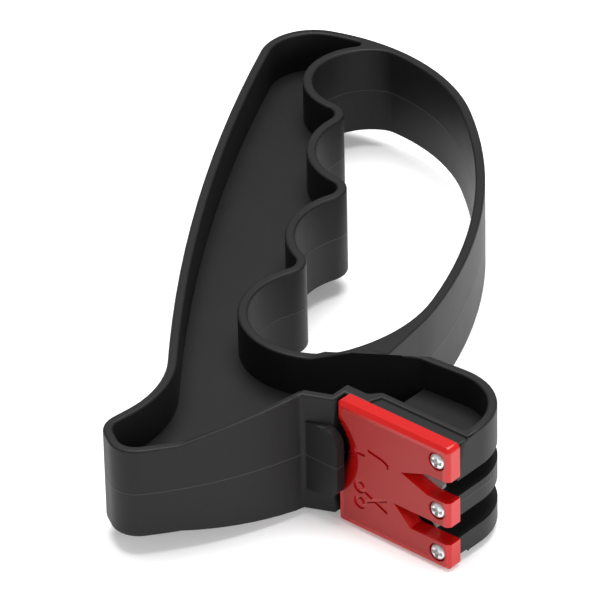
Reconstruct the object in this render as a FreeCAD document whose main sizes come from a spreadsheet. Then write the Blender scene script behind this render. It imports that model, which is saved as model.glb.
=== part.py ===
"""Hand-held knife and scissors sharpener with a closed finger loop.

The tool lies on its side: X runs along the cover plate towards the mouths of the
two slots, Y is the way a blade is drawn through the head, Z is the thickness.
All sizes are millimetres. The plan is drawn first from the back of the cover
plate; every sub-part is then shifted so that the origin is the middle of the
underside of the whole tool.
"""
import FreeCAD
import Part
import math
import os

Vector = FreeCAD.Vector

# ---------------------------------------------------------------- driving sizes
SIZES = [
    # heights, from the mould's parting plane
    ("grip_depth", 17.5),
    ("head_top", 12.1),
    ("head_bottom", 11.3),
    ("web_thickness", 1.6),
    # walls
    ("rim_wall", 1.7),
    ("loop_wall", 1.8),
    ("front_wall", 4.1),
    ("floor_wall", 1.4),
    ("seat_wall", 2.2),
    ("seat_side_wall", 1.35),
    ("seat_nook", 0.4),
    # cover plate
    ("plate_left", 1.6),
    ("plate_width", 24.6),
    ("plate_height", 24.6),
    ("plate_thickness", 3.0),
    ("plate_chamfer", 0.65),
    ("plate_corner", 1.0),
    ("plate_overhang", 0.5),
    ("seat_clearance", 0.5),
    # head
    ("head_depth", 18.3),
    ("head_corner", 12.0),
    ("ledge_width", 2.6),
    ("ledge_step", 0.4),
    ("floor_start", 5.1),
    ("boss_start", 3.9),
    ("boss_run", 2.6),
    ("corner_round", 1.0),
    ("back_bend", 3.0),
    # slots, from the parting plane; an inset is measured from the plate's right edge
    ("knife_slot_low", 1.4),
    ("knife_slot_high", 4.6),
    ("scissor_slot_low", -7.2),
    ("scissor_slot_high", -2.7),
    ("slot_end", 7.0),
    ("knife_mouth_low", 1.45),
    ("knife_mouth_high", 5.75),
    ("knife_apex_inset", 10.5),
    ("knife_funnel", 5.8),
    ("scissor_mouth_low", -7.0),
    ("scissor_mouth_high", -3.4),
    ("scissor_apex_inset", 12.1),
    # ramp that lifts the rim from the grip to the head
    ("ramp_start", -13.5),
    ("ramp_end", -4.6),
    ("fall_run", 4.9),
    ("fall_turn", 33.5),
    # lug that overlaps the cover plate's left edge
    ("lug_reach", 1.85),
    ("lug_height", 13.8),
    ("lug_thickness", 1.9),
    ("lug_gap", 0.2),
    ("lug_round", 3.0),
    ("lug_clearing", 0.6),
    ("dish_radius", 9.6),
    ("dish_floor_radius", 6.2),
    ("dish_depth", 1.5),
    ("dish_reach", 4.8),
    ("dish_rise", 1.8),
    # screws
    ("screw_shank", 2.0),
    ("screw_head", 3.2),
    ("screw_head_height", 1.2),
    ("screw_length", 5.6),
    ("screw_inset", 2.6),
    ("recess_width", 0.7),
    ("recess_span", 2.3),
    ("recess_depth", 0.7),
    ("screw_clearance", 0.05),
    ("head_clearance", 0.15),
    ("counterbore_depth", 1.0),
    ("screw_rise_upper", 9.2),
    ("screw_rise_middle", -0.7),
    ("screw_rise_lower", -9.3),
    # carbide cutters, with the same insets
    ("cutter_thickness", 1.1),
    ("cutter_width", 2.5),
    ("cutter_clearance", 0.05),
    ("knife_half_angle", 17.0),
    ("knife_cross_inset", 9.2),
    ("knife_cutter_right_inset", 3.9),
    ("knife_cutter_left_inset", 12.7),
    ("scissor_edge_inset", 5.3),
    ("scissor_cutter_width", 4.0),
    ("scissor_cutter_top", -0.9),
    ("scissor_tip_angle", 49.0),
    # lettering-free pictograms on the cover plate
    ("icon_stroke", 0.65),
    ("icon_depth", 0.3),
    ("icon_ring", 1.0),
    # curves of the handle's plan
    ("heel_round", 5.0),
    ("toe_round", 5.0),
    ("front_bow", 65.0),
    ("root_crease", 1.0),
    ("loop_low_round", 46.5),
    ("loop_top_round", 40.0),
    ("loop_bow", 108.0),
    ("far_corner", 10.0),
    ("far_corner_turn", 200.5),
    ("spine_bow", 425.0),
    ("waist_round", 21.0),
    ("finger_round", 13.5),
    ("first_finger_round", 10.5),
    ("knuckle_round", 4.5),
    ("nook_round", 0.9),
    ("loop_end_round", 5.2),
    ("loop_end_turn", 89.3),
    ("loop_root_round", 30.0),
    ("loop_floor_round", 11.1),
]

doc = FreeCAD.newDocument("sharpener")
sheet = doc.addObject("Spreadsheet::Sheet", "sizes")
for row, (alias, number) in enumerate(SIZES, start=1):
    sheet.set(f"A{row}", alias)
    sheet.set(f"B{row}", str(number))
    sheet.setAlias(f"B{row}", alias)
doc.recompute()


def size(alias):
    return float(sheet.get(alias))


# Places of the round centres in the plan, (x, y) from the back of the cover plate.
HEEL = (-23.0, -27.0)
TOE = (-21.0, -28.2)
WAIST = (-48.5, -21.0)
LOOP_LOW = (-51.5, 21.0)
LOOP_TOP = (-68.5, 57.0)
LOOP_ROOT = (-3.0, 17.9)
LOOP_FLOOR = (-20.4, 18.8)
KNUCKLES = [(-64.8, 70.4), (-47.9, 51.3), (-37.7, 28.3)]
BACK_BEND = (5.0, 13.0)
SHOULDER_RUN = (5.1, 2.2)
SHARP = 0.05

plate_right = size("plate_left") + size("plate_width")
head_side = plate_right - size("plate_overhang")
seat_x = size("plate_left") - size("seat_clearance")
plate_half = size("plate_height") / 2
grip_half = size("grip_depth") / 2
web_half = size("web_thickness") / 2


# ---------------------------------------------------------------- plan outlines
# A closed outline is a belt round pegs. A peg is (x, y, radius, side): side is +1
# where the belt turns left round it and -1 where it turns right.
def touching(first, last, radius, side=1):
    """A left-turning peg that touches both neighbours, on the given side of their line."""
    reach_first = abs(radius - first[3] * first[2])
    reach_last = abs(radius - last[3] * last[2])
    dx = last[0] - first[0]
    dy = last[1] - first[1]
    gap = math.hypot(dx, dy)
    along = (reach_first**2 - reach_last**2 + gap**2) / (2 * gap)
    across = side * math.sqrt(reach_first**2 - along**2)
    x = first[0] + (dx * along - dy * across) / gap
    y = first[1] + (dy * along + dx * across) / gap
    return (x, y, radius, 1)


def grown(peg, wall):
    """The same peg with the belt moved outwards by wall, or inwards where it is negative."""
    return (peg[0], peg[1], peg[2] + peg[3] * wall, peg[3])


def reversed_peg(peg, wall):
    """The peg as the belt on the other side of a wall meets it, going the other way."""
    return (peg[0], peg[1], peg[2] + peg[3] * wall, -peg[3])


def on_peg(peg, heading):
    x, y, radius, side = peg
    return Vector(x + side * radius * math.sin(heading), y - side * radius * math.cos(heading), 0)


def heading_from(peg, after):
    """Direction in which the belt leaves peg for the one after it."""
    gap = math.hypot(after[0] - peg[0], after[1] - peg[1])
    lean = (peg[3] * peg[2] - after[3] * after[2]) / gap
    bearing = math.atan2(after[1] - peg[1], after[0] - peg[0])
    return bearing + math.asin(max(-1.0, min(1.0, lean)))


def belt(pegs):
    """Lines and arcs of the closed outline that runs round the pegs."""
    headings = [heading_from(peg, after) for peg, after in zip(pegs, pegs[1:] + pegs[:1])]
    arcs = []
    for index, peg in enumerate(pegs):
        arrive = headings[index - 1]
        turn = (headings[index] - arrive) % (2 * math.pi)
        if peg[3] < 0:
            turn -= 2 * math.pi
        arcs.append([on_peg(peg, arrive + turn * share) for share in (0.0, 0.5, 1.0)])
    for arc, after in zip(arcs, arcs[1:] + arcs[:1]):
        if arc[2].distanceToPoint(after[0]) < 1e-3:
            after[0] = arc[2]
    edges = []
    for arc, after in zip(arcs, arcs[1:] + arcs[:1]):
        edges.append(Part.Arc(*arc))
        if arc[2].distanceToPoint(after[0]) > 0:
            edges.append(Part.LineSegment(arc[2], after[0]))
    return edges


# ---------------------------------------------------------------- the three plan outlines
def peg(place, alias, side=1):
    return (place[0], place[1], size(alias), side)


rim = size("rim_wall")
loop = size("loop_wall")
corner = size("corner_round")
front = size("front_wall")

heel = peg(HEEL, "heel_round")
toe = peg(TOE, "toe_round")
shoulder = (seat_x - SHARP, SHARP - size("plate_thickness"), SHARP, 1)
crease = (seat_x - SHOULDER_RUN[0], -size("plate_thickness") - SHOULDER_RUN[1], SHARP, -1)
front_bow = touching(toe, crease, size("front_bow"))
seat = (seat_x + SHARP, -SHARP, SHARP, -1)
front_corner = (head_side - SHARP, SHARP, SHARP, 1)
back_round = size("head_corner")
back_corner = (head_side - back_round, size("head_depth") - back_round, back_round, 1)
root = peg(LOOP_ROOT, "root_crease", -1)
loop_low = peg(LOOP_LOW, "loop_low_round")
loop_top = peg(LOOP_TOP, "loop_top_round")
loop_bow = touching(loop_low, loop_top, size("loop_bow"))
far_turn = math.radians(size("far_corner_turn"))
far_reach = size("loop_top_round") - size("far_corner")
far_x = LOOP_TOP[0] + far_reach * math.sin(far_turn)
far_y = LOOP_TOP[1] - far_reach * math.cos(far_turn)
far = (far_x, far_y, size("far_corner"), 1)
waist = peg(WAIST, "waist_round", -1)
spine = touching(far, waist, size("spine_bow"))

outer = [heel, toe, front_bow, crease, shoulder, seat, front_corner, back_corner, root,
         loop_low, loop_bow, loop_top, far, spine, waist]

end_turn = math.radians(size("loop_end_turn"))
end_reach = size("loop_top_round") - loop - size("loop_end_round")
end_place = (LOOP_TOP[0] + end_reach * math.cos(end_turn),
             LOOP_TOP[1] + end_reach * math.sin(end_turn))
loop_end = peg(end_place, "loop_end_round")
loop_floor = peg(LOOP_FLOOR, "loop_floor_round")
knuckles = [peg(place, "knuckle_round", -1) for place in KNUCKLES]
grooves = [touching(loop_end, knuckles[0], size("first_finger_round"))]
for index, knuckle in enumerate(knuckles):
    after = (knuckles + [loop_floor])[index + 1]
    grooves.append(touching(knuckle, after, size("finger_round")))

fingers = [grooves[0]]
for knuckle, groove in zip(knuckles, grooves[1:]):
    fingers += [knuckle, groove]
inner_bow = grown(loop_bow, -loop)
loop_root = touching(loop_floor, inner_bow, size("loop_root_round"), -1)
hole = [loop_root, inner_bow, grown(loop_top, -loop), loop_end] + fingers + [loop_floor]

shoulder_lean = math.atan2(SHOULDER_RUN[1], SHOULDER_RUN[0])
inner_shoulder_y = rim / math.cos(shoulder_lean) - size("plate_thickness")
inner_shoulder_y -= size("seat_side_wall") * math.tan(shoulder_lean)
inner_top = grown(loop_top, -rim)
palm_side = [reversed_peg(item, loop) for item in reversed(fingers)]
back_bend = peg(BACK_BEND, "back_bend")
floor_wrap = reversed_peg(loop_floor, loop)
recess = [grown(item, -rim) for item in (heel, toe, front_bow, crease)]
recess += [
    (seat_x - size("seat_side_wall") - SHARP, inner_shoulder_y + SHARP, SHARP, 1),
    (seat_x - size("seat_side_wall") + size("seat_nook"),
     size("seat_wall") - size("seat_nook"), size("seat_nook"), -1),
    (size("boss_start"), size("seat_wall") + corner, corner, 1),
    (size("boss_start") + size("boss_run"), front - corner, corner, -1),
    (head_side - rim - corner, front + corner, corner, 1),
    grown(back_corner, -rim),
    back_bend,
    floor_wrap,
]
recess += palm_side
recess += [touching(palm_side[-1], inner_top, size("nook_round"), -1)]
recess += [grown(item, -rim) for item in (loop_top, far, spine, waist)]


# ---------------------------------------------------------------- modelling helpers
def new_body(label):
    body = doc.addObject("PartDesign::Body", label)
    body.Label = label
    return body


def new_sketch(body, name, role, geometry, offset="0"):
    """A sketch on one of the body's own planes, moved along its normal by an expression."""
    planes = [item for item in body.Origin.OriginFeatures if item.Role == role]
    sketch = body.newObject("Sketcher::SketchObject", name)
    sketch.AttachmentSupport = [(planes[0], "")]
    sketch.MapMode = "FlatFace"
    sketch.setExpression("AttachmentOffset.Base.z", offset)
    sketch.addGeometry(geometry, False)
    return sketch


def polygon(points):
    corners = [Vector(x, y, 0) for x, y in points]
    return [Part.LineSegment(a, b) for a, b in zip(corners, corners[1:] + corners[:1])]


def rectangle(left, right, low, high):
    return polygon([(left, low), (right, low), (right, high), (left, high)])


def ring(x, y, radius):
    return Part.Circle(Vector(x, y, 0), Vector(0, 0, 1), radius)


def extrude(body, kind, sketch, length, other=None, flip=False):
    """A Pad or a Pocket whose length is an expression; other is the length the other way."""
    feature = body.newObject(f"PartDesign::{kind}", f"{sketch.Name}_{kind.lower()}")
    feature.Profile = sketch
    feature.setExpression("Length", length)
    feature.Reversed = flip
    if other:
        feature.SideType = "Two sides"
        feature.setExpression("Length2", other)
    sketch.Visibility = False
    doc.recompute()
    return feature


def cut_volume(body, before):
    """Stops the build when the last cut took nothing away."""
    after = body.Shape.Volume
    if after > before - 1e-3:
        raise RuntimeError(f"{body.Tip.Name} cuts nothing")
    return after


# ---------------------------------------------------------------- handle
REACH = 200.0
handle = new_body("handle")
extrude(handle, "Pad", new_sketch(handle, "plan", "XY_Plane", belt(outer)),
        "sizes.head_top", "sizes.head_bottom")
volume = handle.Shape.Volume

cuts = []
for name, up, face in (("top", 1, size("head_top")), ("bottom", -1, -size("head_bottom"))):
    grip = up * grip_half
    away = face + 2 * up
    ramp = [(-REACH, grip), (size("ramp_start"), grip), (size("ramp_end"), face),
            (size("ramp_end"), away), (-REACH, away)]
    cuts.append((f"{name}_ramp", "XZ_Plane", polygon(ramp)))
    run = -size("fall_run")
    fall = [(REACH, grip), (0, grip), (run, face), (run, away), (REACH, away)]
    cuts.append((f"{name}_fall", "YZ_Plane", polygon(fall)))
cuts.append(("finger_hole", "XY_Plane", belt(hole)))

# the fall from the head to the loop has its foot at the crease behind the head
foot = (root[0] - root[2], root[1] - root[2])
turned = FreeCAD.Rotation(Vector(0, 1, 0), size("fall_turn"))
fall_place = FreeCAD.Placement(Vector(foot[1], 0, foot[0]), turned)
for name, role, geometry in cuts:
    sketch = new_sketch(handle, name, role, geometry)
    if role == "YZ_Plane":
        sketch.setExpression("AttachmentOffset.Base.z", None)
        sketch.AttachmentOffset = fall_place
    feature = extrude(handle, "Pocket", sketch, "1 mm")
    feature.Type = "ThroughAll"
    feature.SideType = "Symmetric"
    doc.recompute()
    volume = cut_volume(handle, volume)

# hollow on both sides of the web, then the solid block that the two slots run through
extrude(handle, "Pocket", new_sketch(handle, "upper_hollow", "XY_Plane", belt(recess),
                                     "sizes.web_thickness / 2"),
        "sizes.head_top", flip=True)
volume = cut_volume(handle, volume)
extrude(handle, "Pocket", new_sketch(handle, "lower_hollow", "XY_Plane", belt(recess),
                                     "-sizes.web_thickness / 2"),
        "sizes.head_bottom")
volume = cut_volume(handle, volume)
half_rim = rim / 2
block = [
    (size("floor_start"), half_rim, SHARP, 1),
    (head_side - half_rim, half_rim, SHARP, 1),
    grown(back_corner, -half_rim),
    (size("floor_start"), BACK_BEND[1] + size("back_bend") + half_rim, SHARP, 1),
]
extrude(handle, "Pad", new_sketch(handle, "slot_block", "XY_Plane", belt(block)),
        "sizes.knife_slot_high + sizes.floor_wall",
        "sizes.floor_wall - sizes.scissor_slot_low")
volume = handle.Shape.Volume

# the edge of each cutter as drawn on the front: a blade meets the two slanted edges
lean = math.tan(math.radians(size("knife_half_angle")))
cross_x = plate_right - size("knife_cross_inset")
cross_z = (size("knife_mouth_low") + size("knife_mouth_high")) / 2
left = plate_right - size("knife_cutter_left_inset")
right = plate_right - size("knife_cutter_right_inset")
bit = size("cutter_width")


def knife_bit(up, grow, start=left, finish=right, near=0.0):
    """Outline of a knife cutter: up is +1 for the one above the slot, -1 for the one below."""
    low = [(x, cross_z + up * (lean * (x - cross_x) + near - grow)) for x in (start, finish)]
    far_side = [(x, cross_z + up * (lean * (x - cross_x) + bit + grow)) for x in (finish, start)]
    ends = [(x + (grow if x == finish else -grow), z) for x, z in low + far_side]
    return ends


edge_x = plate_right - size("scissor_edge_inset")
wide = size("scissor_cutter_width")
tip_z = size("scissor_slot_low")
rise = wide * math.tan(math.radians(size("scissor_tip_angle")))
gap = size("cutter_clearance")


def scissor_bit(grow):
    top = size("scissor_cutter_top") + grow
    near, far_end = edge_x + grow, edge_x - wide - grow
    return [(near, tip_z + gap - 2 * grow), (near, top), (far_end, top),
            (far_end, tip_z + gap + rise - grow)]


screw_x = plate_right - size("screw_inset")
screw_rises = [size(f"screw_rise_{place}") for place in ("upper", "middle", "lower")]
pilot = size("screw_shank") / 2 + size("screw_clearance")
slot_x = size("slot_end")
ledge = size("ledge_width")
ledge_plan = [(slot_x - ledge / 2, -1), (REACH, -1), (REACH, ledge), (slot_x, ledge)]
front_cuts = [
    ("knife_slot", "XZ_Plane", rectangle(slot_x, REACH, size("knife_slot_low"),
                                         size("knife_slot_high")), "0", "sizes.head_depth * 2"),
    ("scissor_slot", "XZ_Plane", rectangle(slot_x, REACH, size("scissor_slot_low"),
                                           size("scissor_slot_high")), "0", "sizes.head_depth * 2"),
    ("lower_bit_seat", "XZ_Plane", polygon(knife_bit(-1, gap)), "0", "sizes.cutter_thickness"),
    ("upper_bit_seat", "XZ_Plane", polygon(knife_bit(1, gap)), "0", "sizes.cutter_thickness * 2"),
    ("scissor_bit_seat", "XZ_Plane", polygon(scissor_bit(gap)), "0", "sizes.cutter_thickness"),
    ("pilot_holes", "XZ_Plane", [ring(screw_x, z, pilot) for z in screw_rises], "0",
     "sizes.screw_length - sizes.plate_thickness + sizes.counterbore_depth + 0.1"),
    ("top_ledge", "XY_Plane", polygon(ledge_plan), "sizes.head_top", "sizes.ledge_step"),
]
for name, role, geometry, offset, length in front_cuts:
    extrude(handle, "Pocket", new_sketch(handle, name, role, geometry, offset), length)
    volume = cut_volume(handle, volume)
extrude(handle, "Pocket", new_sketch(handle, "bottom_ledge", "XY_Plane", polygon(ledge_plan),
                                     "-sizes.head_bottom"), "sizes.ledge_step", flip=True)
volume = cut_volume(handle, volume)

# lug in front of the cover plate, and the fill between it and the shoulder
lug_right = size("plate_left") + size("lug_reach")
lug_left = crease[0] + size("lug_clearing")
half_lug = size("lug_height") / 2
lug_turn = size("lug_round")
lug = [(lug_left, -half_lug, SHARP, 1), (lug_right - lug_turn, lug_turn - half_lug, lug_turn, 1),
       (lug_right - lug_turn, half_lug - lug_turn, lug_turn, 1), (lug_left, half_lug, SHARP, 1)]
extrude(handle, "Pad", new_sketch(handle, "lug", "XZ_Plane", belt(lug),
                                  "sizes.plate_thickness + sizes.lug_gap"),
        "sizes.lug_thickness")
fill = rectangle(seat_x - rim, seat_x, -half_lug, half_lug)
extrude(handle, "Pad", new_sketch(handle, "lug_fill", "XZ_Plane", fill,
                                  "sizes.plate_thickness - sizes.lug_gap"),
        "sizes.lug_gap * 2")

# ---------------------------------------------------------------- cover plate
plate = new_body("cover_plate")
turn = size("plate_corner")
face = [(x, z, turn, 1) for x, z in ((size("plate_left") + turn, turn - plate_half),
                                     (plate_right - turn, turn - plate_half),
                                     (plate_right - turn, plate_half - turn),
                                     (size("plate_left") + turn, plate_half - turn))]
extrude(plate, "Pad", new_sketch(plate, "face", "XZ_Plane", belt(face)),
        "sizes.plate_thickness")
front_edges = [f"Edge{number}" for number, item in enumerate(plate.Shape.Edges, start=1)
               if abs(item.CenterOfMass.y + size("plate_thickness")) < 1e-6]
slab = plate.Tip
chamfer = plate.newObject("PartDesign::Chamfer", "front_chamfer")
chamfer.Base = (slab, front_edges)
chamfer.setExpression("Size", "sizes.plate_chamfer")
doc.recompute()
volume = plate.Shape.Volume

mouth_low, mouth_high = size("knife_mouth_low"), size("knife_mouth_high")
apex = plate_right - size("knife_apex_inset")
knife_mouth = [(apex, cross_z), (apex + size("knife_funnel"), mouth_low), (REACH, mouth_low),
               (REACH, mouth_high), (apex + size("knife_funnel"), mouth_high)]
low, high = size("scissor_mouth_low"), size("scissor_mouth_high")
tip = plate_right - size("scissor_apex_inset")
scissor_mouth = [(tip, high), (tip + high - low, low),
                 (REACH, low), (REACH, high)]
head_hole = size("screw_head") / 2 + size("head_clearance")
dish_x = size("plate_left") + size("dish_reach") - size("dish_radius")
front_face = "sizes.plate_thickness"
for name, geometry, length in (
    ("knife_mouth", polygon(knife_mouth), "sizes.plate_thickness"),
    ("scissor_mouth", polygon(scissor_mouth), "sizes.plate_thickness"),
    ("screw_holes", [ring(screw_x, z, pilot) for z in screw_rises], "sizes.plate_thickness"),
    ("counterbores", [ring(screw_x, z, head_hole) for z in screw_rises],
     "sizes.counterbore_depth"),
    ("dish_wall", [ring(dish_x, size("dish_rise"), size("dish_floor_radius"))],
     "sizes.plate_thickness"),
):
    extrude(plate, "Pocket", new_sketch(plate, name, "XZ_Plane", geometry, front_face), length)
    volume = cut_volume(plate, volume)

dish = plate.newObject("PartDesign::SubtractiveCone", "dish")
planes = [item for item in plate.Origin.OriginFeatures if item.Role == "XZ_Plane"]
dish.AttachmentSupport = [(planes[0], "")]
dish.MapMode = "FlatFace"
dish.setExpression("AttachmentOffset.Base.x",
                   "sizes.plate_left + sizes.dish_reach - sizes.dish_radius")
dish.setExpression("AttachmentOffset.Base.y", "sizes.dish_rise")
dish.setExpression("AttachmentOffset.Base.z", "sizes.plate_thickness - sizes.dish_depth")
dish.setExpression("Radius1", "sizes.dish_floor_radius")
dish.setExpression("Radius2", "sizes.dish_radius")
dish.setExpression("Height", "sizes.dish_depth")
doc.recompute()
volume = cut_volume(plate, volume)

# rib on the back that holds the upper knife cutter against the bottom of its seat
rib = knife_bit(1, -gap, cross_x, right, bit / 4)
extrude(plate, "Pad", new_sketch(plate, "rib", "XZ_Plane", polygon(rib)),
        "sizes.cutter_thickness - sizes.cutter_clearance", flip=True)

# plain pictograms: a knife beside the upper slot, scissors beside the lower one
half_stroke = size("icon_stroke") / 2


def stroke(start, finish, bend=None):
    """Outline of a round-ended stroke; bend is (x, z, radius, side) of its arc."""
    ends = [(*start, half_stroke, 1), (*finish, half_stroke, 1)]
    if not bend:
        return belt(ends)
    x, z, radius, side = bend
    outward = (x, z, radius + side * half_stroke, side)
    return belt([ends[0], outward, ends[1], (x, z, radius - side * half_stroke, -side)])


ring_out = size("icon_ring") + half_stroke
ring_in = size("icon_ring") - half_stroke
icons = [
    ("knife_icon", stroke((6.0, 3.6), (7.6, 3.6)) + stroke((8.8, 4.9), (12.8, 3.2),
                                                         (10.4, 0.5, 4.0, -1))),
    ("scissor_icon", [ring(x, z, radius) for x, z in ((6.6, -3.3), (6.6, -6.5))
                      for radius in (ring_out, ring_in)]),
    ("scissor_blade_low", stroke((7.6, -3.8), (12.4, -6.1))),
    ("scissor_blade_high", stroke((7.6, -6.0), (12.4, -3.7))),
]
volume = plate.Shape.Volume
for name, geometry in icons:
    extrude(plate, "Pocket", new_sketch(plate, name, "XZ_Plane", geometry, front_face),
            "sizes.icon_depth")
    volume = cut_volume(plate, volume)

# ---------------------------------------------------------------- screws
head_y = size("counterbore_depth") - size("plate_thickness")
top_y = head_y - size("screw_head_height")
head_radius = size("screw_head") / 2
shank_radius = size("screw_shank") / 2
tip_y = head_y + size("screw_length")
crown = head_radius * 0.6
half_slot = size("recess_width") / 2
half_span = size("recess_span") / 2
screws = []
for place, screw_rise in zip(("upper", "middle", "lower"), screw_rises):
    screw = new_body(f"cover_screw_{place}")
    side = new_sketch(screw, f"turned_{place}", "XY_Plane", [
        *[Part.LineSegment(Vector(*a, 0), Vector(*b, 0)) for a, b in (
            ((crown, top_y), (0, top_y)),
            ((0, top_y), (0, tip_y)),
            ((0, tip_y), (shank_radius, tip_y - shank_radius)),
            ((shank_radius, tip_y - shank_radius), (shank_radius, head_y)),
            ((shank_radius, head_y), (head_radius, head_y)),
        )],
        Part.Arc(Vector(head_radius, head_y, 0),
                 Vector(head_radius * 0.93, (head_y * 2 + top_y * 3) / 5, 0),
                 Vector(crown, top_y, 0)),
    ], f"sizes.screw_rise_{place}")
    side.setExpression("AttachmentOffset.Base.x",
                       "sizes.plate_left + sizes.plate_width - sizes.screw_inset")
    turning = screw.newObject("PartDesign::Revolution", f"turned_{place}_solid")
    turning.Profile = side
    turning.ReferenceAxis = (side, ["V_Axis"])
    turning.Angle = 360
    doc.recompute()
    volume = screw.Shape.Volume
    x, z = screw_x, screw_rise
    a, b = half_slot, half_span
    cross = [(x - b, z - a), (x - a, z - a), (x - a, z - b), (x + a, z - b), (x + a, z - a),
             (x + b, z - a), (x + b, z + a), (x + a, z + a), (x + a, z + b), (x - a, z + b),
             (x - a, z + a), (x - b, z + a)]
    extrude(screw, "Pocket", new_sketch(
        screw, f"cross_{place}", "XZ_Plane", polygon(cross),
        "sizes.plate_thickness - sizes.counterbore_depth + sizes.screw_head_height"),
        "sizes.recess_depth")
    cut_volume(screw, volume)
    screws.append(screw)

# ---------------------------------------------------------------- carbide cutters
cutters = []
for label, outline, layer in (
    ("knife_cutter_lower", knife_bit(-1, 0), 0),
    ("knife_cutter_upper", knife_bit(1, 0), 1),
    ("scissor_cutter", scissor_bit(0), 0),
):
    cutter = new_body(label)
    extrude(cutter, "Pad", new_sketch(cutter, f"{label}_face", "XZ_Plane", polygon(outline),
                                      f"-sizes.cutter_thickness * {layer}"),
            "sizes.cutter_thickness - sizes.cutter_clearance", flip=True)
    cutters.append(cutter)

# ---------------------------------------------------------------- one frame, checks, export
left_x = far[0] - far[2]
shift_x = -(left_x + plate_right) / 2
shift_y = -(toe[1] - toe[2] + loop_top[1] + loop_top[2]) / 2
place = FreeCAD.Placement(Vector(shift_x, shift_y, plate_half), FreeCAD.Rotation())
parts = [handle, plate] + screws + cutters
for item in parts:
    item.Placement = place
doc.recompute()

for item in doc.Objects:
    if "Invalid" in item.State or "Error" in item.State:
        raise RuntimeError(f"{item.Label} failed: {item.State}")
for item in parts:
    if item.Shape.isNull() or not item.Shape.isValid() or len(item.Shape.Solids) != 1:
        raise RuntimeError(f"{item.Label} is not one valid solid")

os.makedirs("parts", exist_ok=True)
for item in parts:
    item.Shape.exportStep(f"parts/{item.Label}.step")
    box = item.Shape.BoundBox
    print(f"{item.Label:22s} {item.Shape.Volume:9.1f} mm3 "
          f"x {box.XMin:7.2f} {box.XMax:7.2f}  y {box.YMin:7.2f} {box.YMax:7.2f} "
          f" z {box.ZMin:6.2f} {box.ZMax:6.2f}")
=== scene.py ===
# %% [markdown]
# # A hand-held knife and scissors sharpener
# The tool is one black moulding with a finger loop, a red cover plate held by three
# small screws, and three carbide bits behind the plate. The solid model comes first as
# the frame; this file gives each piece its finish and rounds the edges that a mould
# rounds. Sizes are metres, Z is the thickness of the tool as it lies on its side.

import math

import bmesh
import bpy
from mathutils import Matrix, Vector


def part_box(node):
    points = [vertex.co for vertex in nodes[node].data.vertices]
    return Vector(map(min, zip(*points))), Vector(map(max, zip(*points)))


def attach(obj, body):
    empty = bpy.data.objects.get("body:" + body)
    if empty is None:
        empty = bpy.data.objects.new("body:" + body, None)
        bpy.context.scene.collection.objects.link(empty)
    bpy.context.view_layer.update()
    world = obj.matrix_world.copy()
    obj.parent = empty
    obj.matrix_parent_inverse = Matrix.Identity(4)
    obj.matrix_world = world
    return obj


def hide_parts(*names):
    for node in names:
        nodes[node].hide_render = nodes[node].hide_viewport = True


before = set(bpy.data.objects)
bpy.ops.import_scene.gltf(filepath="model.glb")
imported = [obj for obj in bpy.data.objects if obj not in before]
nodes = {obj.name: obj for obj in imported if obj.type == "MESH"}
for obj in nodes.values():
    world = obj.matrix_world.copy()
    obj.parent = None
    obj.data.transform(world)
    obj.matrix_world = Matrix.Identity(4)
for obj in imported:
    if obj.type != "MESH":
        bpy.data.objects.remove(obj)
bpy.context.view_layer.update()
mm = 0.001
print("pieces of the frame:", sorted(nodes))

# %% [markdown]
# ## Where things are
# The moulding has a parting plane half-way up the cover plate. Everything that is
# symmetric about that plane, and the fine line that the mould leaves there, is placed
# from its height.

# %% Heights that the finishes use
plate_low, plate_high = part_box("cover_plate")
parting_z = (plate_low.z + plate_high.z) / 2
grip_half = 8.75 * mm
print("parting plane at", round(parting_z / mm, 2), "mm")

# %% [markdown]
# ## Writing shader maths as expressions
# A node tree for a pattern is long when each node is placed by hand. A small class that
# wraps a socket lets the sums be written the way they are on paper: every operator adds
# one Math node. One more method adds any other node from its type, its settings and the
# values of its sockets.


# %% Socket wrapper
class Sock:
    def __init__(self, tree, socket):
        self.tree = tree
        self.socket = socket

    def math(self, operation, *others, clamp=False):
        node = self.tree.nodes.new("ShaderNodeMath")
        node.operation = operation
        node.use_clamp = clamp
        for place, value in zip(node.inputs, (self, *others)):
            plug(self.tree, value, place)
        return Sock(self.tree, node.outputs[0])

    def __add__(self, other):
        return self.math("ADD", other)

    def __mul__(self, other):
        return self.math("MULTIPLY", other)

    def __sub__(self, other):
        return self.math("SUBTRACT", other)

    def __rsub__(self, other):
        return (self * -1.0) + other

    def __truediv__(self, other):
        return self.math("DIVIDE", other)

    def __abs__(self):
        return self.math("ABSOLUTE")

    def below(self, limit, blur):
        """1 well under limit, 0 over it, with a soft step of width blur between."""
        return ((limit - self) / blur + 0.5).math("MULTIPLY", 1.0, clamp=True)


def plug(tree, value, place):
    if isinstance(value, Sock):
        tree.links.new(value.socket, place)
    else:
        place.default_value = value


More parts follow.
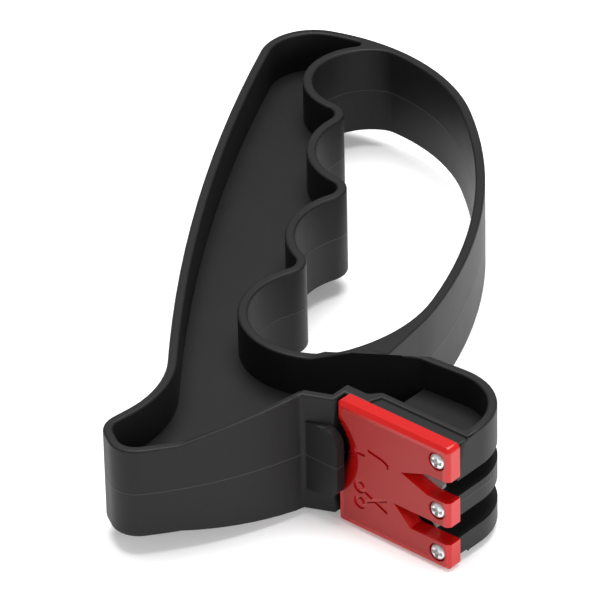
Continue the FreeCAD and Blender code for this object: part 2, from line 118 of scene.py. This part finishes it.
# %% One method for every other node
class Finish:
    """A material with its shader and a method that adds nodes."""

    def __init__(self, name):
        self.material = bpy.data.materials.new(name)
        self.material.use_nodes = True
        self.tree = self.material.node_tree
        self.shader = self.tree.nodes["Principled BSDF"]
        self.place = self.node("ShaderNodeTexCoord", output="Object")

    def node(self, kind, settings=None, output=0, **values):
        node = self.tree.nodes.new(kind)
        for key, value in (settings or {}).items():
            setattr(node, key, value)
        for key, value in values.items():
            plug(self.tree, value, node.inputs[key.replace("_", " ")])
        return Sock(self.tree, node.outputs[output])

    def set(self, **values):
        for key, value in values.items():
            plug(self.tree, value, self.shader.inputs[key.replace("_", " ")])

    def noise(self, size, detail=2.0, rough=0.5):
        """Noise from 0 to 1 whose grains are about size metres."""
        return self.node("ShaderNodeTexNoise", output="Fac", Vector=self.place,
                         Scale=1.0 / size, Detail=detail, Roughness=rough)

    def xyz(self):
        split = self.tree.nodes.new("ShaderNodeSeparateXYZ")
        plug(self.tree, self.place, split.inputs[0])
        return [Sock(self.tree, item) for item in split.outputs]

    def mix(self, factor, a, b):
        node = self.tree.nodes.new("ShaderNodeMix")
        node.data_type = "RGBA"
        plug(self.tree, factor, node.inputs[0])
        plug(self.tree, a, node.inputs[6])
        plug(self.tree, b, node.inputs[7])
        return Sock(self.tree, node.outputs[2])

    def bump(self, height, depth, strength=1.0):
        """Height from 0 to 1 raised by depth metres, into the shader's normal."""
        self.set(Normal=self.node("ShaderNodeBump", output="Normal", Strength=strength,
                                  Distance=depth, Height=height))


print("shader helpers ready")

# %% [markdown]
# ## Black moulded plastic
# The handle is a glass-filled plastic with a fine satin skin: dark grey where light
# falls on it, nearly black inside the hollows, and with soft highlights on its rounded
# rims. Two noises do this. A fine one pits the skin, and a broad, weak one makes the
# gloss uneven, as moulded parts are. The two halves of the mould leave a fine ridge at
# the parting plane, and every wall leans a degree and a half away from it so that the
# part comes out; both are drawn as height, so the light breaks there as on the real one.
# The ridge is also painted a little paler than the skin beside it, a painted highlight where the
# ridge catches the light.

# %% Black plastic
black = Finish("black_moulded_plastic")
grain = black.noise(0.35 * mm, 3.0, 0.6)
clouds = black.noise(9.0 * mm, 2.0)
x, y, z = black.xyz()
away = abs(z - parting_z)
seam = away.below(0.10 * mm, 0.08 * mm)
skin = black.mix(clouds, (0.0075, 0.0075, 0.0077, 1), (0.0105, 0.0105, 0.0107, 1))
black.set(
    # the paler grey along the seam is a painted highlight where the ridge catches the light
    Base_Color=black.mix(seam * 0.6, skin, (0.05, 0.05, 0.051, 1)),
    Roughness=grain * 0.10 + clouds * 0.08 + 0.40,
)
black.set(Specular_IOR_Level=0.22)
draft = math.tan(math.radians(1.5))
black.bump(grain * 0.020 * mm + seam * 0.06 * mm - away * draft, 1.0, 1.0)
print("black plastic:", len(black.tree.nodes), "nodes")

# %% [markdown]
# ## Red moulded plastic
# The cover plate has polished edges and a spark-eroded, matte front. The matte patch
# stops a little inside the chamfers and keeps clear of the dish at the left, so the
# roughness is switched by position on the plate: a mask that is 1 on the front face and
# 0 on the border. The border is also painted a lighter red, a painted highlight on the lit top face
# and chamfers.

# %% Red plastic
red = Finish("red_moulded_plastic")
x, y, z = red.xyz()
border = 1.3 * mm
half_wide = (plate_high.x - plate_low.x) / 2 - border
half_high = (plate_high.z - plate_low.z) / 2 - border
inside_x = abs(x - (plate_low.x + plate_high.x) / 2).below(half_wide, 0.3 * mm)
inside_z = abs(z - parting_z).below(half_high, 0.3 * mm)
front = y.below(plate_low.y + 0.1 * mm, 0.05 * mm)
matte = inside_x * inside_z * front
pits = red.noise(0.16 * mm, 2.0, 0.7)
cloud = red.noise(6 * mm)
red.set(
    # the lighter red on the border is a painted highlight on the lit top face and chamfers
    Base_Color=red.mix(matte, (0.50, 0.006, 0.005, 1), (0.37, 0.008, 0.006, 1)),
    Roughness=matte * 0.36 + cloud * 0.06 + 0.16,
)
red.set(Specular_IOR_Level=0.5, Subsurface_Weight=0.0)
red.bump(pits * matte, 0.03 * mm, 0.5)
print("red plastic:", len(red.tree.nodes), "nodes")

# %% [markdown]
# ## Metals
# The screws are small, bright nickel-plated pan heads. The bits are sintered carbide,
# ground flat, so they are greyer and carry straight grinding lines.

# %% Screw plating
plating = Finish("bright_screw_plating")
wear = plating.noise(0.5 * mm)
plating.set(Base_Color=plating.mix(wear, (0.72, 0.72, 0.73, 1), (0.84, 0.84, 0.85, 1)),
            Roughness=wear * 0.15 + 0.30)
plating.set(Metallic=0.75)
plating.bump(wear, 0.02 * mm, 0.3)

# %% Ground carbide
carbide = Finish("ground_carbide")
x, y, z = carbide.xyz()
lines = carbide.node("ShaderNodeTexWave", {"wave_type": "BANDS", "bands_direction": "X"},
                     output="Fac", Vector=carbide.place, Scale=2600.0, Distortion=3.0)
carbide.set(Base_Color=carbide.mix(lines, (0.40, 0.40, 0.41, 1), (0.56, 0.56, 0.57, 1)),
            Roughness=lines * 0.12 + 0.30)
carbide.set(Metallic=0.4)
carbide.bump(lines, 0.01 * mm, 0.3)
print("metals ready")

# %% [markdown]
# ## Rounding the handle's rims
# A moulded wall never ends in a knife edge. The solid model's walls are square, so a
# copy of the handle is merged into a clean mesh and every sharp edge along a rim is
# bevelled. The bevel operator rolls each edge with three faces; a wall 1.7 mm thick
# takes a 0.4 mm round on both of its edges and keeps a flat strip between them.


# %% A clean copy of a solid-model piece
def clean_copy(node, name):
    source = nodes[node]
    mesh = bpy.data.meshes.new(name)
    bm = bmesh.new()
    bm.from_mesh(source.data)
    bmesh.ops.transform(bm, matrix=source.matrix_world, verts=bm.verts)
    bmesh.ops.remove_doubles(bm, verts=bm.verts, dist=2e-6)
    bmesh.ops.dissolve_degenerate(bm, dist=0.02 * mm, edges=bm.edges)
    return bm, mesh, name


def finish_piece(bm, mesh, name, material, replaced):
    bmesh.ops.triangulate(bm, faces=bm.faces)
    bm.to_mesh(mesh)
    bm.free()
    mesh.shade_smooth()
    mesh.set_sharp_from_angle(angle=math.radians(35))
    for face in mesh.polygons:
        if abs(face.normal.z) > 0.99999 or abs(face.normal.y) > 0.99999:
            face.use_smooth = False
    mesh.materials.append(material)
    piece = bpy.data.objects.new(name, mesh)
    bpy.context.scene.collection.objects.link(piece)
    weighted = piece.modifiers.new("flat faces lead", "WEIGHTED_NORMAL")
    weighted.keep_sharp = True
    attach(piece, "root")
    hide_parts(replaced)
    print(name, len(mesh.polygons), "faces")


# %% Handle with rounded rims
rim_round = 0.4 * mm
bm, mesh, name = clean_copy("handle", "handle_moulding")
rims = []
for edge in bm.edges:
    if len(edge.link_faces) != 2 or not edge.is_manifold:
        continue
    if edge.calc_face_angle(0.0) < math.radians(50) or not edge.is_convex:
        continue
    normals = [face.normal for face in edge.link_faces]
    upright = [abs(normal.z) > 0.85 for normal in normals]
    level = [abs(vert.co.z - parting_z) > grip_half - 0.1 * mm for vert in edge.verts]
    if sum(upright) == 1 and all(level):
        rims.append(edge)
bmesh.ops.bevel(bm, geom=rims, offset=rim_round, offset_type="OFFSET", segments=3,
                profile=0.5, affect="EDGES", clamp_overlap=False, material=-1)
print("rim edges rounded:", len(rims))
finish_piece(bm, mesh, name, black.material, "handle")

# %% [markdown]
# ## Softening the plate's front edge
# The plate has a chamfer round its front face. On a moulding its two edges are slightly
# rounded, and these small rounds catch the light as a bright line. The chamfer's faces
# lean 45 degrees towards the front, so its edges are found from that lean alone.

# %% Cover plate with a softened chamfer
chamfer_round = 0.18 * mm
bm, mesh, name = clean_copy("cover_plate", "plate_moulding")
lean = [edge for edge in bm.edges
        if len(edge.link_faces) == 2 and edge.is_convex
        and any(-0.75 < face.normal.y < -0.66 for face in edge.link_faces)
        and 0.5 < edge.calc_face_angle(0.0) < 1.0]
bmesh.ops.bevel(bm, geom=lean, offset=chamfer_round, offset_type="OFFSET", segments=2,
                profile=0.5, affect="EDGES", clamp_overlap=True, material=-1)
print("chamfer edges rounded:", len(lean))
finish_piece(bm, mesh, name, red.material, "cover_plate")

# %% Finishes for the pieces that keep their solid-model mesh
for node, finish in (
    ("cover_screw_upper", plating),
    ("cover_screw_middle", plating),
    ("cover_screw_lower", plating),
    ("knife_cutter_upper", carbide),
    ("knife_cutter_lower", carbide),
    ("scissor_cutter", carbide),
):
    for place in nodes[node].material_slots:
        place.material = finish.material
print("finishes assigned")

# %% [markdown]
# ## Floor, light and camera
# The floor is a plain pale sheet, faintly lit from below like a light table, which keeps
# the shadow under the tool weak. A broad soft light from the upper left makes the
# gradients on the curved walls, a weaker one from the right lights the loop, and a pale
# world fills the shadows.

# %% Floor
floor_bm = bmesh.new()
bmesh.ops.create_grid(floor_bm, x_segments=1, y_segments=1, size=6.0)
floor_mesh = bpy.data.meshes.new("floor")
floor_bm.to_mesh(floor_mesh)
floor_bm.free()
floor = bpy.data.objects.new("floor", floor_mesh)
floor.location.z = -0.0002
bpy.context.scene.collection.objects.link(floor)
paper = Finish("pale_floor")
paper.set(Base_Color=(0.9, 0.9, 0.9, 1), Roughness=0.9)
paper.set(Emission_Color=(1, 1, 1, 1), Emission_Strength=0.25)
floor_mesh.materials.append(paper.material)

# %% Lights
world = bpy.data.worlds.new("studio")
bpy.context.scene.world = world
world.use_nodes = True
world.node_tree.nodes["Background"].inputs["Color"].default_value = (1, 1, 1, 1)
world.node_tree.nodes["Background"].inputs["Strength"].default_value = 0.34


def softbox(name, place, aim, size, power):
    data = bpy.data.lights.new(name, "AREA")
    data.shape = "DISK"
    data.size = size
    data.energy = power
    light = bpy.data.objects.new(name, data)
    light.location = place
    light.rotation_euler = (Vector(aim) - Vector(place)).to_track_quat("-Z", "Y").to_euler()
    bpy.context.scene.collection.objects.link(light)


softbox("overhead", (-0.10, 0.15, 1.0), (0, 0, 0.01), 0.9, 14.2)
softbox("right", (0.85, -0.05, 0.30), (0, 0, 0.01), 0.45, 3.7)
print("lights placed")

# %% Camera
azimuth, elevation, roll = (math.radians(a) for a in (41.39, 33.06, -1.32))
right = Vector((math.cos(azimuth), math.sin(azimuth), 0))
back = Vector((math.sin(azimuth) * math.cos(elevation), -math.cos(azimuth) * math.cos(elevation),
               math.sin(elevation)))
up = back.cross(right)
axis_x = right * math.cos(roll) + up * math.sin(roll)
axis_y = up * math.cos(roll) - right * math.sin(roll)
aim = Vector((31.4, -31.9, 12.3)) * mm
distance = 0.9987
eye = aim + distance * back - distance * (0.006969 * axis_x - 0.025315 * axis_y)
lens = bpy.data.cameras.new("camera")
lens.lens = 352.7
lens.sensor_width = 36.0
lens.clip_end = 20.0
camera = bpy.data.objects.new("camera", lens)
camera.matrix_world = Matrix.Translation(eye) @ Matrix((axis_x, axis_y, back)).transposed().to_4x4()
bpy.context.scene.collection.objects.link(camera)
bpy.context.scene.camera = camera
bpy.context.scene.view_settings.view_transform = "Standard"
print("camera at", [round(v, 3) for v in eye])
